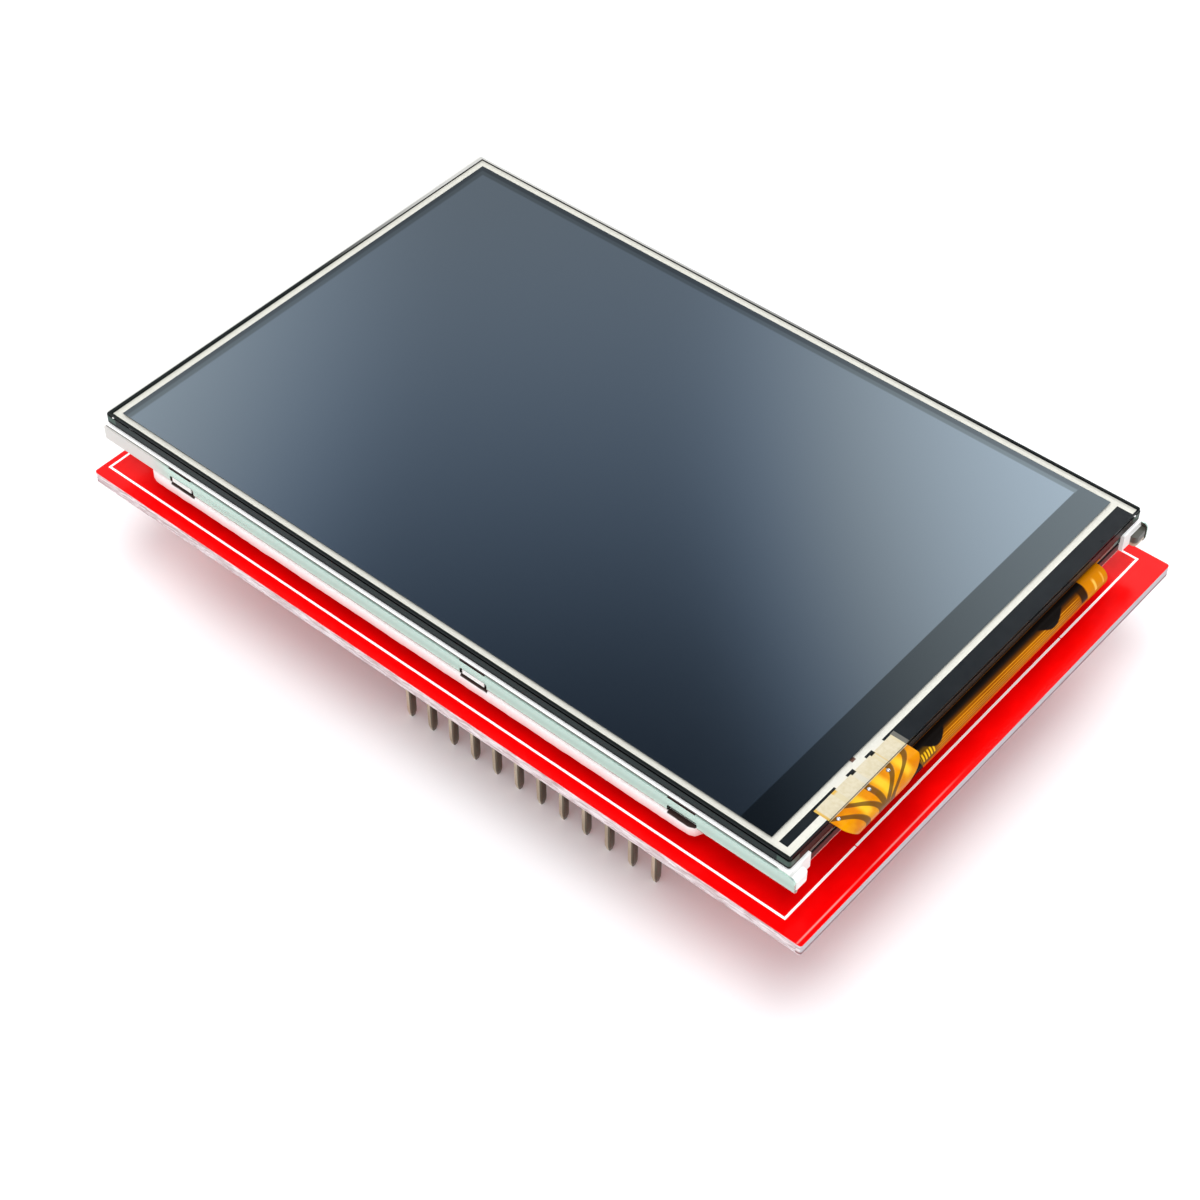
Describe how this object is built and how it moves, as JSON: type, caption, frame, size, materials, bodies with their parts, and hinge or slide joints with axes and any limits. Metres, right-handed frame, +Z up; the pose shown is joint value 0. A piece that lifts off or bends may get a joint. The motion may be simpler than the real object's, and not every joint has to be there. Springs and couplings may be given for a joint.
{
  "type": "tft display module",
  "caption": "Flat colour display with a resistive touch panel, carried on a red plug-in circuit board with rows of header pins below and a memory card socket underneath.",
  "frame": {"origin": "under the middle of the circuit board, on the plane of the pin tips", "axes": "+X along the board towards the flex end, +Y across it, +Z up through the display's face"},
  "size_m": [0.081, 0.0534, 0.0163],
  "materials": {
    "board_red": "glossy solder mask on glass laminate",
    "header_plastic": "moulded, matte",
    "pin_plating": "tin plate, satin",
    "solder": "solder, bright",
    "foam_white": "soft foam tape",
    "tray_steel": "bright rolled sheet",
    "frame_white": "moulded, matte white",
    "film_white": "thin white film",
    "film_clear": "clear ribbed film",
    "guide_acrylic": "clear acrylic",
    "led_white": "lamp package",
    "flex_amber": "polyimide film over copper",
    "tail_amber": "polyimide film over copper",
    "pad_cream": "bonding film",
    "tape_black": "black adhesive tape",
    "polariser": "dark polarising film",
    "cell_glass": "thin display glass",
    "touch_glass": "float glass",
    "touch_film": "hard-coated clear film",
    "silver_print": "printed silver ink",
    "chip_silicon": "bare silicon",
    "package_black": "moulded package",
    "lead_tin": "tin plate",
    "socket_steel": "stamped steel",
    "contact_gold": "gold flash",
    "resistor_black": "glazed black top",
    "capacitor_tan": "fired ceramic"
  },
  "bodies": {
    "root": {"circuit_board": "board_red", "front_header_strip": "header_plastic", "back_header_strip_short": "header_plastic", "back_header_strip_long": "header_plastic", "front_header_pins": "pin_plating", "back_header_pins": "pin_plating", "front_solder_joints": "solder", "back_solder_joints": "solder", "front_foam_strip": "foam_white", "back_foam_strip": "foam_white", "foam_pad_left": "foam_white", "foam_pad_right": "foam_white", "backlight_tray": "tray_steel", "backlight_frame": "frame_white", "reflector_film": "film_white", "diffuser_film": "film_white", "lower_prism_film": "film_clear", "upper_prism_film": "film_clear", "light_guide": "guide_acrylic", "backlight_leds": "led_white", "main_flex": "flex_amber", "led_flex": "flex_amber", "touch_tail": "tail_amber", "tail_pads": "pad_cream", "rim_tape": "tape_black", "touch_tape": "tape_black", "touch_spacer": "tape_black", "rear_polariser": "polariser", "front_polariser": "polariser", "array_glass": "cell_glass", "filter_glass": "cell_glass", "touch_glass": "touch_glass", "touch_film": "touch_film", "touch_tracks": "silver_print", "driver_chip": "chip_silicon", "level_shifter_1": "package_black", "level_shifter_2": "package_black", "regulator_body": "package_black", "card_socket_base": "package_black", "level_shifter_leads": "lead_tin", "regulator_leads": "lead_tin", "resistor_terminals": "lead_tin", "capacitor_terminals": "lead_tin", "card_socket_shell": "socket_steel", "card_socket_contacts": "contact_gold", "chip_resistors": "resistor_black", "chip_capacitors": "capacitor_tan"}
  },
  "joints": []
}
